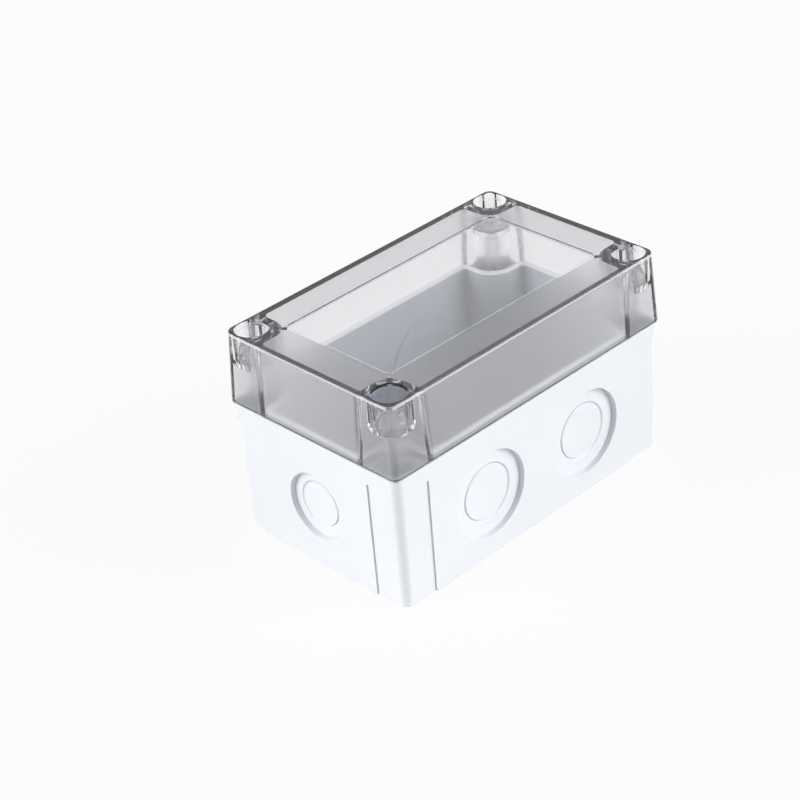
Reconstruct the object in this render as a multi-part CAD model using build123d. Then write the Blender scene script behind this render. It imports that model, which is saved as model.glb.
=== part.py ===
from build123d import *
import math
import os

# Small wiring enclosure: a drafted base with cable entries, a clear lid with four screw wells,
# a seal in the rim, four captive cover screws and the break-out blanks of the cable entries.
# Millimetres, +Z up, X along the long side, origin at the bottom centre.

# Overall sizes
length = 130.0
width = 80.0
height = 78.0
joint_z = 50.8

# Lid
lid_lean = 1.3
lid_corner = 3.0
lid_wall = 2.0
lid_plate = 2.5
lid_edge_round = 0.6
window_margin = 15.6
window_depth = 0.4
window_corner = 1.5

# Screw wells and the wall that keeps the corners outside the seal
well_inset = 7.7
well_r = 6.0
well_depth = 10.7
tube_wall = 0.7
tube_floor = 2.3
tube_foot_round = 1.5
lid_hole_r = 4.1
channel_reach = 9.1
channel_round = 7.5
pocket_reach_top = 6.6
pocket_reach_bottom = 8.0
pocket_round = 10.0
pocket_corner = 1.5
channel_blend = 2.0
rib_width = 2.0
rib_reach = 11.6
rib_clearance = 0.4

# Base
base_setback = 0.6
base_lean = 0.2
base_corner = 3.0
base_floor = 2.6
tongue_height = 2.5
tongue_wall = 1.2
tongue_clearance = 0.3
cavity_lean = 0.5
foot_round = 0.6
relief_depth = 0.6
relief_top = 44.3
relief_reach = 7.1
base_pocket_reach = 7.2
base_pocket_wall = 2.2
base_pocket_floor = 3.0

# Seal in the rim of the base
seal_groove_outside = 1.0
seal_groove_depth = 1.0
seal_side_clearance = 0.05

# Screw channels, which also take the wall screws
channel_bore_r = 4.0
channel_tube_wall = 1.4
channel_tube_drop = 12.0
wall_screw_seat = 6.0
wall_hole_r = 2.25

# Cover screws
screw_clearance = 0.3
screw_head_gap = 0.5
screw_head_height = 2.6
screw_head_bevel = 0.5
screw_neck_r = 1.6
screw_thread_above_bore = 1.0
screw_engagement = 8.0
screw_tip = 1.0
slot_width = 1.6
slot_depth = 1.5

# Bosses for a board or a plate on the floor
boss_spacing_x = 90.0
boss_spacing_y = 30.0
boss_r = 3.2
boss_height = 4.0
boss_hole_r = 1.35
boss_hole_depth = 5.0

# Cable entries: two on each long side, one on each short side
entry_z = 24.0
entry_spacing = 47.5
long_entry_shift = 1.2
short_entry_shift = 1.0
long_rim_r = 16.25
long_break_r = 10.25
short_rim_r = 12.6
short_break_r = 8.2
rim_draft = 0.3
recess_depth = 1.9
blank_thickness = 1.6
collar_wall = 2.0
break_gap = 0.05
ring_bevel = 0.7
disc_bevel = 0.2

# Derived sizes
half_x = length / 2
half_y = width / 2
well_x = half_x - well_inset
well_y = half_y - well_inset
plate_z = height - lid_plate
seat_z = height - well_depth
tube_bottom_z = seat_z - tube_floor
tube_r = well_r + tube_wall
inside_wall_r = channel_reach - rib_width / 2
lid_slope = lid_lean / (height - joint_z)
tongue_top_z = joint_z + tongue_height
tongue_outer = tongue_clearance
tongue_inner = tongue_clearance + tongue_wall
bore_top_z = joint_z - channel_tube_drop
outward = 4.0
spare = 1.0


def drafted_box(hx, hy, z0, z1, lean):
    # lean is how far each side moves in from bottom to top
    slope = math.degrees(math.atan(lean / (z1 - z0)))
    return extrude(Pos(0, 0, z0) * Rectangle(2 * hx, 2 * hy), amount=z1 - z0, taper=slope)


def rounded_box(hx, hy, z0, z1, lean, corner):
    box = drafted_box(hx, hy, z0, z1, lean)
    return fillet([edge for edge in box.edges() if abs(edge.tangent_at(0.5).Z) > 0.9], corner)


def on_four_corners(shape):
    both = [shape, mirror(shape, about=Plane.YZ)]
    return both + [mirror(piece, about=Plane.XZ) for piece in both]


def corner_outline(reach, inner_round, z):
    # a square corner region that reaches in past the screw axis, with its inner corner rounded
    side_x = half_x + outward - well_x + reach
    side_y = half_y + outward - well_y + reach
    region = Rectangle(side_x, side_y, align=(Align.MIN, Align.MIN))
    region = fillet(region.vertices().sort_by_distance((0, 0, 0))[0], inner_round)
    return Pos(well_x - reach, well_y - reach, z) * region


def corner_block(reach, inner_round, z0, z1):
    return extrude(corner_outline(reach, inner_round, z0), amount=z1 - z0)


def upright(radius, x, y, z0, z1):
    return Pos(x, y, z0) * Cylinder(radius, z1 - z0, align=(Align.CENTER, Align.CENTER, Align.MIN))


def ring_space(inset, z0, z1, top_lean=0.0, foot_lean=0.0):
    # the space inside the sealing line, inset from the lid's inner face at the joint
    hx = half_x - lid_wall - inset - foot_lean
    hy = half_y - lid_wall - inset - foot_lean
    space = drafted_box(hx, hy, z0, z1, top_lean - foot_lean)
    block = corner_block(channel_reach + inset, channel_round + inset, z0 - spare, z1 + spare)
    for piece in on_four_corners(block):
        space -= piece
    return fillet([edge for edge in space.edges() if joins_side_wall(edge, inset)], channel_blend)


def joins_side_wall(edge, inset):
    # upright edges where a corner wall meets a straight wall, beyond the ends of its rounded corner
    middle = edge.center()
    away = math.hypot(abs(middle.X) - well_x, abs(middle.Y) - well_y)
    round_end = math.hypot(channel_reach + inset, channel_reach - channel_round)
    return abs(edge.tangent_at(0.5).Z) > 0.9 and away > round_end + 0.1


def make_lid():
    outer = rounded_box(half_x, half_y, joint_z, height, lid_lean, lid_corner)
    outer = fillet(outer.edges().group_by(Axis.Z)[-1], lid_edge_round)
    # the space over the contents, with the walls as thick at the top as at the joint
    under_lean = lid_slope * (plate_z - joint_z)
    lid = outer - ring_space(0, joint_z, plate_z, top_lean=under_lean)
    # hollow corners outside the seal, open below and narrower at the top, where the wall joins the tube
    pocket_lean = pocket_reach_bottom - pocket_reach_top
    pocket_slope = math.degrees(math.atan(pocket_lean / (plate_z - joint_z)))
    outline = corner_outline(pocket_reach_bottom, pocket_round, joint_z)
    pocket = extrude(outline, amount=plate_z - joint_z, taper=pocket_slope)
    pocket &= rounded_box(half_x - lid_wall, half_y - lid_wall, joint_z, plate_z, under_lean, pocket_corner)
    for piece in on_four_corners(pocket):
        lid -= piece
    # screw tubes with their floors, and the rib on each corner wall
    tube = upright(tube_r, well_x, well_y, tube_bottom_z, height - lid_edge_round)
    tube = fillet(tube.edges().group_by(Axis.Z)[0], tube_foot_round) & outer
    rib_bottom = tongue_top_z + rib_clearance
    rib_outline = Rectangle(rib_reach - inside_wall_r, rib_width, align=(Align.MIN, Align.CENTER))
    rib = extrude(Pos(inside_wall_r, 0, 0) * rib_outline, amount=plate_z - rib_bottom)
    rib = Pos(well_x, well_y, rib_bottom) * Rot(0, 0, 225) * rib
    for piece in on_four_corners(tube) + on_four_corners(rib):
        lid += piece
    well = upright(well_r, well_x, well_y, seat_z, height + spare)
    well += upright(lid_hole_r, well_x, well_y, tube_bottom_z - spare, seat_z + spare)
    for piece in on_four_corners(well):
        lid -= piece
    window = RectangleRounded(length - 2 * window_margin, width - 2 * window_margin, window_corner)
    return lid - extrude(Pos(0, 0, height - window_depth) * window, amount=window_depth + spare)


def base_outer_half(z):
    inset = base_setback + base_lean * (1 - z / joint_z)
    return half_x - inset, half_y - inset


def make_base():
    foot_x, foot_y = base_outer_half(0)
    base = rounded_box(foot_x, foot_y, 0, joint_z, -base_lean, base_corner)
    # the corners stand back a little from the middle of each side, up to the rim
    relief_lean = base_lean * relief_top / joint_z
    proud = drafted_box(foot_x + spare, foot_y + spare, -spare, relief_top, 0)
    kept = rounded_box(foot_x - relief_depth, foot_y - relief_depth, 0, relief_top, -relief_lean, base_corner)
    below = drafted_box(foot_x - relief_depth, foot_y - relief_depth, -spare, 0, 0)
    skin = (proud - kept - below) & corner_block(relief_reach, relief_reach, -spare, relief_top)
    for piece in on_four_corners(skin):
        base -= piece
    base = fillet(base.edges().group_by(Axis.Z)[0], foot_round)
    # the tongue that stands up inside the lid, and the seal groove at its foot
    base += ring_space(tongue_outer, joint_z - seal_groove_depth, tongue_top_z)
    base -= ring_space(tongue_inner, base_floor, tongue_top_z, foot_lean=cavity_lean)
    base -= seal_ring(-seal_groove_outside, tongue_outer)
    # hollow corners outside the seal, each with its screw channel
    room_x = foot_x - relief_depth - base_pocket_wall
    room_y = foot_y - relief_depth - base_pocket_wall
    room = rounded_box(room_x, room_y, base_pocket_floor, joint_z + spare, -base_lean, pocket_corner)
    pocket = corner_block(base_pocket_reach, base_pocket_reach, 0, joint_z + spare) & room
    tube = upright(channel_bore_r + channel_tube_wall, well_x, well_y, base_pocket_floor - spare, bore_top_z)
    pocket -= tube
    seat = upright(channel_bore_r + channel_tube_wall, well_x, well_y, spare, wall_screw_seat)
    bore = upright(channel_bore_r, well_x, well_y, wall_screw_seat, joint_z + spare)
    bore += upright(wall_hole_r, well_x, well_y, -spare, wall_screw_seat + spare)
    for piece in on_four_corners(pocket):
        base -= piece
    for piece in on_four_corners(seat):
        base += piece
    for piece in on_four_corners(bore):
        base -= piece
    for x in (-boss_spacing_x / 2, boss_spacing_x / 2):
        for y in (-boss_spacing_y / 2, boss_spacing_y / 2):
            boss_top = base_floor + boss_height
            base += upright(boss_r, x, y, base_floor - spare, boss_top)
            base -= upright(boss_hole_r, x, y, boss_top - boss_hole_depth, boss_top + spare)
    for place, rim_r, break_r in entries().values():
        base += place * (disc(rim_r - rim_draft + collar_wall, recess_depth, recess_depth + blank_thickness))
        base -= place * entry_cut(rim_r)
    return base


def seal_ring(inset0, inset1, side=0.0):
    # a closed band that follows the sealing line, between two insets
    low = joint_z - seal_groove_depth
    outside = ring_space(inset0 + side, low, joint_z)
    inside = ring_space(inset1 - side, low - spare, joint_z + spare)
    return outside - inside


def make_seal():
    return seal_ring(-seal_groove_outside, tongue_outer, seal_side_clearance)


def make_cover_screw():
    head_r = well_r - screw_head_gap
    thread_r = channel_bore_r - screw_clearance
    thread_top = bore_top_z + screw_thread_above_bore
    thread_bottom = bore_top_z - screw_engagement
    head = upright(head_r, 0, 0, seat_z, seat_z + screw_head_height)
    head = chamfer(head.edges().group_by(Axis.Z)[-1], screw_head_bevel)
    slot = Pos(0, 0, seat_z + screw_head_height - slot_depth) * Rectangle(3 * head_r, slot_width)
    head -= extrude(slot, amount=slot_depth + spare)
    screw = head + upright(screw_neck_r, 0, 0, thread_bottom, seat_z)
    thread = upright(thread_r, 0, 0, thread_bottom - screw_tip, thread_top)
    thread = chamfer(thread.edges().group_by(Axis.Z)[0], screw_tip)
    return screw + thread


def disc(radius, depth0, depth1):
    # a flat round plate that lies between two depths behind the outer face
    return upright(radius, 0, 0, -depth1, -depth0)


def entry_cut(rim_r):
    # the recess flares towards the outer face, and the hole behind it is as wide as its floor
    floor_r = rim_r - rim_draft
    mouth_r = rim_r + rim_draft / recess_depth * outward
    low = Pos(0, 0, -recess_depth) * Circle(floor_r)
    high = Pos(0, 0, outward) * Circle(mouth_r)
    back = recess_depth + blank_thickness + outward
    return loft([low, high], ruled=True) + disc(floor_r, recess_depth - 0.1, back)


def entries():
    # place of each entry on the outer face, with its rim and inner break line
    face_x, face_y = base_outer_half(entry_z)
    found = {}
    for side, sign in (("left", -1), ("right", 1)):
        x = long_entry_shift + sign * entry_spacing / 2
        found[f"front_{side}"] = (Pos(x, -face_y, entry_z) * Rot(90, 0, 0), long_rim_r, long_break_r)
        found[f"back_{side}"] = (Pos(x, face_y, entry_z) * Rot(-90, 0, 0), long_rim_r, long_break_r)
        turn = Rot(0, sign * 90, 0)
        place = Pos(sign * face_x, short_entry_shift, entry_z) * turn
        found[f"{side}_end"] = (place, short_rim_r, short_break_r)
    return found


def make_blank(rim_r, break_r):
    # the ring is left in for the smaller gland, and knocked out with its centre for the larger one
    back = recess_depth + blank_thickness
    ring = disc(rim_r - rim_draft - break_gap, recess_depth, back)
    ring -= disc(break_r, recess_depth - spare, back + spare)
    ring = chamfer(edge_in_front(ring, break_r), ring_bevel)
    centre_r = break_r - break_gap
    centre = disc(centre_r, recess_depth, back)
    centre = chamfer(edge_in_front(centre, centre_r), disc_bevel)
    return ring, centre


def edge_in_front(plate, radius):
    front = plate.edges().group_by(Axis.Z)[-1]
    return [edge for edge in front if abs(edge.radius - radius) < 0.001]


def main():
    os.makedirs("parts", exist_ok=True)
    nodes = {"base": make_base(), "lid": make_lid(), "seal": make_seal()}
    screw = make_cover_screw()
    for depth_name, sign_y in (("front", -1), ("back", 1)):
        for side, sign_x in (("left", -1), ("right", 1)):
            place = Pos(sign_x * well_x, sign_y * well_y, 0)
            nodes[f"cover_screw_{depth_name}_{side}"] = place * screw
    for name, (place, rim_r, break_r) in entries().items():
        ring, centre = make_blank(rim_r, break_r)
        nodes[f"knockout_ring_{name}"] = place * ring
        nodes[f"knockout_disc_{name}"] = place * centre
    for name, shape in nodes.items():
        export_step(shape, f"parts/{name}.step")


main()
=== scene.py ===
import math

import bpy
from mathutils import Matrix, Vector


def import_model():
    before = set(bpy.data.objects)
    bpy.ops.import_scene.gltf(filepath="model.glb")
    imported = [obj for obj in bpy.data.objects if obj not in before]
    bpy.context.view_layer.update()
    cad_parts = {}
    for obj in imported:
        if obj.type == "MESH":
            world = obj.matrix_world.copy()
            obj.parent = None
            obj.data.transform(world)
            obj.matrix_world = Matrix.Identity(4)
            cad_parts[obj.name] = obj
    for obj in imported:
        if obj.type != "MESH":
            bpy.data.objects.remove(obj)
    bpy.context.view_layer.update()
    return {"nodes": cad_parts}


MM = 0.001

# the outer faces of the lid, which lean in from its foot on the base's rim to the top
HALF_LENGTH, HALF_WIDTH = 65.0 * MM, 40.0 * MM
RIM_HEIGHT = 50.8 * MM
SIDE_LEAN = 0.0478
TOP_UNDERSIDE = 75.5 * MM
WINDOW_HALF_LENGTH, WINDOW_HALF_WIDTH = 49.25 * MM, 24.25 * MM
# the hollow corners of the lid, and the line that the rounding of each corner wall turns about
CORNER_X, CORNER_Y = 47.0 * MM, 22.0 * MM
ROUNDING_X, ROUNDING_Y, ROUNDING_RADIUS = 55.7 * MM, 30.7 * MM, 7.5 * MM
# the lip of the base's tongue, which stands up inside the lid
LIP_HEIGHT = 52.25 * MM

POLYCARBONATE_IOR = 1.586
POLYAMIDE_IOR = 1.53

WHITE = (1, 1, 1, 1)
UNLIT = (0, 0, 0, 1)


class Value:
    """One output of a node, which takes part in plain arithmetic."""

    def __init__(self, board, node, output=0):
        self.board = board
        self.node = node
        self.socket = node.outputs[output] if node.outputs else None

    def also(self, output):
        """Another output of the same node."""
        return Value(self.board, self.node, output)

    def _math(self, operation, *terms):
        return self.board.put("Math", {"operation": operation}, dict(enumerate(terms)))

    def __add__(self, other):
        return self._math("ADD", self, other)

    __radd__ = __add__

    def __mul__(self, other):
        return self._math("MULTIPLY", self, other)

    __rmul__ = __mul__

    def __sub__(self, other):
        return self._math("SUBTRACT", self, other)

    def __rsub__(self, other):
        return self._math("SUBTRACT", other, self)

    def __pow__(self, other):
        return self._math("POWER", self, other)

    def __abs__(self):
        return self._math("ABSOLUTE", self)

    def above(self, other):
        """The larger of the two."""
        return self._math("MAXIMUM", self, other)

    def past(self, line, soft):
        """0 before the line and 1 past it, with a smooth edge as wide as soft."""
        limits = {"Value": self, "From Min": line - soft / 2, "From Max": line + soft / 2}
        return self.board.put("MapRange", {"interpolation_type": "SMOOTHSTEP"}, limits)

    def between(self, low, high, soft):
        """1 from the low line to the high one, and 0 outside them."""
        return self.past(low, soft) * (1 - self.past(high, soft))


class Board:
    """The node board of one material or of the world."""

    def __init__(self, owner):
        owner.use_nodes = True
        self.tree = owner.node_tree
        self.tree.nodes.clear()

    def put(self, kind, settings=None, inputs=None):
        node = self.tree.nodes.new("ShaderNode" + kind)
        for name, value in (settings or {}).items():
            setattr(node, name, value)
        for name, value in (inputs or {}).items():
            if isinstance(value, Value):
                self.tree.links.new(value.socket, node.inputs[name])
            else:
                node.inputs[name].default_value = value
        return Value(self, node)

    def place(self):
        """Where a point lies on the object, in metres."""
        return self.put("TexCoord").also("Object")

    def grain(self, place, scale, detail, roughness):
        inputs = {"Vector": place, "Scale": scale, "Detail": detail, "Roughness": roughness}
        return self.put("TexNoise", None, inputs)

    def bump(self, height, strength, distance):
        inputs = {"Strength": strength, "Distance": distance, "Height": height}
        return self.put("Bump", None, inputs)

    def blend(self, share, first, second):
        """A mix of two colours, which a Mix node takes at sockets 6 and 7 and gives at output 2."""
        return self.put("Mix", {"data_type": "RGBA"}, {0: share, 6: first, 7: second}).also(2)

    def mix(self, share, first, second):
        """The first shader, and the second where share is 1."""
        return self.put("MixShader", None, {0: share, 1: first, 2: second})

    def lighting_rays(self):
        """1 for the rays that only gather light for a matt surface."""
        path = self.put("LightPath")
        return path.also("Is Shadow Ray").above(path.also("Is Diffuse Ray"))

    def seen_rays(self):
        """1 for the rays that show a thing directly, mirrored or through a clear piece."""
        path = self.put("LightPath")
        mirrored_or_through = path.also("Is Glossy Ray").above(path.also("Is Transmission Ray"))
        return mirrored_or_through.above(path.also("Is Camera Ray"))

    def lets_light_through(self, shader, tint):
        """A clear shader that passes the lamps' light straight on, tinted, to what is behind it."""
        straight = self.put("BsdfTransparent", None, {"Color": tint})
        return self.mix(self.lighting_rays(), shader, straight)


def grey_polycarbonate():
    """Light grey moulding with a fine spark-eroded skin."""
    material = bpy.data.materials.new("grey_polycarbonate")
    board = Board(material)
    place = board.place()
    skin = board.grain(place, scale=2600.0, detail=3.0, roughness=0.6)
    flow = board.grain(place, scale=22.0, detail=3.0, roughness=0.5)
    wear = board.grain(place, scale=160.0, detail=4.0, roughness=0.6)
    moulded = board.blend(flow, (0.79, 0.81, 0.85, 1), (0.82, 0.84, 0.88, 1))
    # the thin lip of the tongue is painted paler and given a painted glow, which stand in for the
    # light of the lid's side that shines through it
    up = board.put("SeparateXYZ", None, {"Vector": place}).also("Z")
    lip = up.past(LIP_HEIGHT, 0.3 * MM)
    lip_painted_light, lip_painted_glow = (0.95, 0.95, 0.96, 1), (0.28, 0.28, 0.29, 1)
    finish = {
        "Base Color": board.blend(lip, moulded, lip_painted_light),
        "Roughness": 0.36 + 0.10 * skin + 0.08 * wear,
        "IOR": POLYCARBONATE_IOR,
        "Normal": board.bump(skin, strength=0.35, distance=0.03 * MM),
        # Emission Color gives the lip its painted glow, though it is no lamp
        "Emission Color": board.blend(lip, UNLIT, lip_painted_glow),
        "Emission Strength": 1.0,
    }
    shader = board.put("BsdfPrincipled", None, finish)
    board.put("OutputMaterial", None, {"Surface": shader})
    return material


def clear_polycarbonate():
    """Smoky clear moulding, tinted through its depth.

    Its window and its outer faces are polished. The underside of the frame round the
    window and the inner faces of the sides are satin, and the corner walls a little.
    """
    material = bpy.data.materials.new("clear_polycarbonate")
    board = Board(material)
    place = board.place()
    axes = board.put("SeparateXYZ", None, {"Vector": place})
    out_x, out_y, up = abs(axes.also("X")), abs(axes.also("Y")), axes.also("Z")

    past_window_end = out_x.past(WINDOW_HALF_LENGTH, 0.3 * MM)
    past_window_side = out_y.past(WINDOW_HALF_WIDTH, 0.3 * MM)
    at_underside = up.between(TOP_UNDERSIDE - 0.15 * MM, TOP_UNDERSIDE + 0.15 * MM, 0.1 * MM)
    under_frame = past_window_end.above(past_window_side) * at_underside

    # 0 on the leaning outer faces, and below 0 inside them
    drawn_in = SIDE_LEAN * (up - RIM_HEIGHT)
    from_side = (out_x + drawn_in - HALF_LENGTH).above(out_y + drawn_in - HALF_WIDTH)
    inner_depth = from_side.between(-2.5 * MM, -1.3 * MM, 0.2 * MM)
    inner_sides = inner_depth * (1 - up.past(76.1 * MM, 0.2 * MM))
    outer_skin = from_side.past(-0.35 * MM, 0.1 * MM)

    # the corner walls' side towards the room
    aside = (ROUNDING_X - out_x).above(0.0)
    along = (ROUNDING_Y - out_y).above(0.0)
    from_rounding = (aside * aside + along * along) ** 0.5
    inner_radius, outer_radius = ROUNDING_RADIUS - 0.6 * MM, ROUNDING_RADIUS + 0.6 * MM
    room_side = from_rounding.between(inner_radius, outer_radius, 0.2 * MM)
    room_side = room_side * (1 - up.past(75.3 * MM, 0.2 * MM))

    # the satin scatters what is seen straight through it, and still mirrors along the wall
    slant = board.put("LayerWeight", None, {"Blend": 0.5}).also("Facing")
    straight_on = 1 - slant.past(0.52, 0.12)
    satin = under_frame.above(inner_sides).above(0.6 * room_side) * straight_on

    # the foot and a band along the edge of the top are painted dark as painted shade, since no
    # light comes in between the lid's foot and the rim that it stands on, and the light that enters
    # the edge of the top is lost down the thick side
    foot = (1 - up.past(50.95 * MM, 0.1 * MM)) * (1 - outer_skin)
    top_edge = up.past(77.6 * MM, 0.2 * MM) * from_side.past(-1.45 * MM, 0.1 * MM)
    # the second colour here is the near-black painted shade of the foot and the top edge
    clear, painted_shade = (0.995, 0.99, 1.0, 1), (0.075, 0.070, 0.085, 1)
    skin = board.grain(place, scale=2200.0, detail=2.0, roughness=0.5)
    waves = board.grain(place, scale=45.0, detail=2.0, roughness=0.5)
    finish = {
        "Base Color": board.blend(foot.above(top_edge), clear, painted_shade),
        "Roughness": 0.02 + satin * (0.32 + 0.08 * skin),
        "IOR": POLYCARBONATE_IOR,
        "Transmission Weight": 1.0,
        "Normal": board.bump(waves, strength=0.03, distance=0.2 * MM),
    }
    glass = board.put("BsdfPrincipled", None, finish)

    # the haze shows where the lamps light it through the wall, and little from the room inside
    haze_and_highlight_colour = (0.93, 0.93, 0.96, 1)
    front_lit = board.put("BsdfDiffuse", None, {"Color": haze_and_highlight_colour})
    back_lit = board.put("BsdfTranslucent", None, {"Color": haze_and_highlight_colour})
    haze_and_highlight = board.mix(0.3, front_lit, back_lit)
    from_within = board.put("NewGeometry").also("Backfacing")
    at_corner = out_x.past(CORNER_X, 1.0 * MM) * out_y.past(CORNER_Y, 1.0 * MM)
    hazy = inner_sides * (0.40 - 0.16 * at_corner) * straight_on * (0.25 + 0.75 * from_within)

    # a fine line under the top edge and another at the foot are painted white as painted
    # highlights, which the lamps light in place of the glint on the edge rounding
    top_highlight_line = up.between(76.4 * MM, 77.4 * MM, 0.2 * MM)
    foot_highlight_line = 1 - up.past(51.3 * MM, 0.2 * MM)
    painted_edge_highlight = outer_skin * (1 - from_within) * (0.75 * top_highlight_line).above(0.45 * foot_highlight_line)

    # the haze shader also carries the painted highlight lines at the top edge and the foot
    moulding = board.mix(hazy.above(painted_edge_highlight), glass, haze_and_highlight)
    surface = board.lets_light_through(moulding, (0.65, 0.66, 0.67, 1))
    smoke = {"Color": (0.70, 0.69, 0.75, 1), "Density": 25.0}
    depth = board.put("VolumeAbsorption", None, smoke)
    board.put("OutputMaterial", None, {"Surface": surface, "Volume": depth})
    return material


def clear_polyamide():
    """Milky clear cover screws."""
    material = bpy.data.materials.new("clear_polyamide")
    board = Board(material)
    cloud = board.grain(board.place(), scale=500.0, detail=3.0, roughness=0.5)
    finish = {
        "Base Color": (0.97, 0.975, 0.98, 1),
        "Roughness": 0.36 + 0.12 * cloud,
        "IOR": POLYAMIDE_IOR,
        "Transmission Weight": 0.9,
        "Normal": board.bump(cloud, strength=0.1, distance=0.05 * MM),
    }
    glass = board.put("BsdfPrincipled", None, finish)
    surface = board.lets_light_through(glass, (0.9, 0.9, 0.91, 1))
    board.put("OutputMaterial", None, {"Surface": surface})
    return material


def seal_rubber():
    """Soft foamed seal."""
    material = bpy.data.materials.new("seal_rubber")
    board = Board(material)
    pores = board.grain(board.place(), scale=1800.0, detail=3.0, roughness=0.6)
    finish = {
        "Base Color": board.blend(pores, (0.62, 0.63, 0.64, 1), (0.72, 0.73, 0.74, 1)),
        "Roughness": 0.62 + 0.2 * pores,
        "Normal": board.bump(pores, strength=0.4, distance=0.06 * MM),
    }
    shader = board.put("BsdfPrincipled", None, finish)
    board.put("OutputMaterial", None, {"Surface": shader})
    return material


def paint(piece, material):
    piece.data.materials.clear()
    piece.data.materials.append(material)
    for face in piece.data.polygons:
        face.material_index = 0


def dress_cad_nodes(nodes):
    grey = grey_polycarbonate()
    screw = clear_polyamide()
    finishes = {"lid": clear_polycarbonate(), "seal": seal_rubber()}
    for name, piece in nodes.items():
        if name.startswith("cover_screw"):
            paint(piece, screw)
        else:
            paint(piece, finishes.get(name, grey))


def studio_world():
    """Two tall soft boxes, left and right, in a dim room; white where it is seen."""
    left_heading, right_heading = 152, -57
    box_narrowness = 20
    box_strength, dimmed_by = 8.0, 3.5
    room_light = 0.10

    world = bpy.data.worlds.new("studio")
    bpy.context.scene.world = world
    board = Board(world)
    ray = board.put("TexCoord").also("Generated")
    height = board.put("SeparateXYZ", None, {"Vector": ray}).also("Z")
    level_ray = board.put("VectorMath", {"operation": "MULTIPLY"}, {0: ray, 1: (1, 1, 0)})
    heading = board.put("VectorMath", {"operation": "NORMALIZE"}, {0: level_ray})

    def facing(degrees):
        aim = (math.cos(math.radians(degrees)), math.sin(math.radians(degrees)), 0)
        turned = board.put("VectorMath", {"operation": "DOT_PRODUCT"}, {0: heading, 1: aim})
        return turned.also("Value").above(0.0) ** box_narrowness

    tall = height.past(0.05, 0.20) * (1 - height.past(0.745, 0.25))
    # the clear top mirrors the boxes in some views, so they are dimmer there
    strength = box_strength - dimmed_by * board.put("LightPath").also("Is Glossy Ray")
    light = room_light + strength * (facing(left_heading) + facing(right_heading)) * tall
    level = light.above(board.seen_rays())
    sky = board.put("Background", None, {"Color": WHITE, "Strength": level})
    board.put("OutputWorld", None, {"Surface": sky})


def pale_floor():
    """A pale matt floor that keeps the object's shadow, and can't be seen from below."""
    reach = 3.0
    mesh = bpy.data.meshes.new("floor")
    corners = [(-reach, -reach, 0), (reach, -reach, 0), (reach, reach, 0), (-reach, reach, 0)]
    mesh.from_pydata(corners, [], [(0, 1, 2, 3)])
    floor = bpy.data.objects.new("floor", mesh)
    floor.location.z = -0.05 * MM
    bpy.context.scene.collection.objects.link(floor)

    material = bpy.data.materials.new("pale_floor")
    board = Board(material)
    matte = board.put("BsdfDiffuse", None, {"Color": (0.78, 0.78, 0.78, 1)})
    white = board.put("Emission", None, {"Color": WHITE, "Strength": 1.0})
    shown = board.mix(board.seen_rays() * 0.92, matte, white)
    from_below = board.put("NewGeometry").also("Backfacing")
    surface = board.mix(from_below, shown, board.put("BsdfTransparent"))
    board.put("OutputMaterial", None, {"Surface": surface})
    mesh.materials.append(material)


def photo_camera():
    """The photograph's viewpoint: its angles, and its distance, shift and aim in millimetres."""
    azimuth, elevation, roll = math.radians(-42.151), math.radians(31.956), math.radians(-5.096)
    distance, shift_right, shift_up = 740.347, 17.352, 3.986
    aim = Vector((0, 0, 39.005))
    focal_pixels, picture_pixels, sensor_width = 2150.774, 800.0, 36.0

    level = math.cos(elevation)
    back = Vector((math.sin(azimuth) * level, -math.cos(azimuth) * level, math.sin(elevation)))
    level_right = Vector((math.cos(azimuth), math.sin(azimuth), 0))
    level_up = back.cross(level_right)
    right = math.cos(roll) * level_right + math.sin(roll) * level_up
    up = math.cos(roll) * level_up - math.sin(roll) * level_right
    place = aim - shift_right * right - shift_up * up + distance * back

    data = bpy.data.cameras.new("photo_camera")
    data.sensor_width = sensor_width
    data.lens = sensor_width * focal_pixels / picture_pixels
    camera = bpy.data.objects.new("photo_camera", data)
    turn = Matrix((right, up, back)).transposed().to_4x4()
    camera.matrix_world = Matrix.Translation(place * MM) @ turn
    bpy.context.scene.collection.objects.link(camera)
    bpy.context.scene.camera = camera


def main():
    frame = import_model()
    scene = bpy.context.scene
    scene.view_settings.view_transform = "Standard"
    # the clear lid stacks many faces, and a ray passes them all
    scene.cycles.max_bounces = 32
    scene.cycles.transmission_bounces = 32
    photo_camera()
    studio_world()
    pale_floor()
    dress_cad_nodes(frame["nodes"])


main()
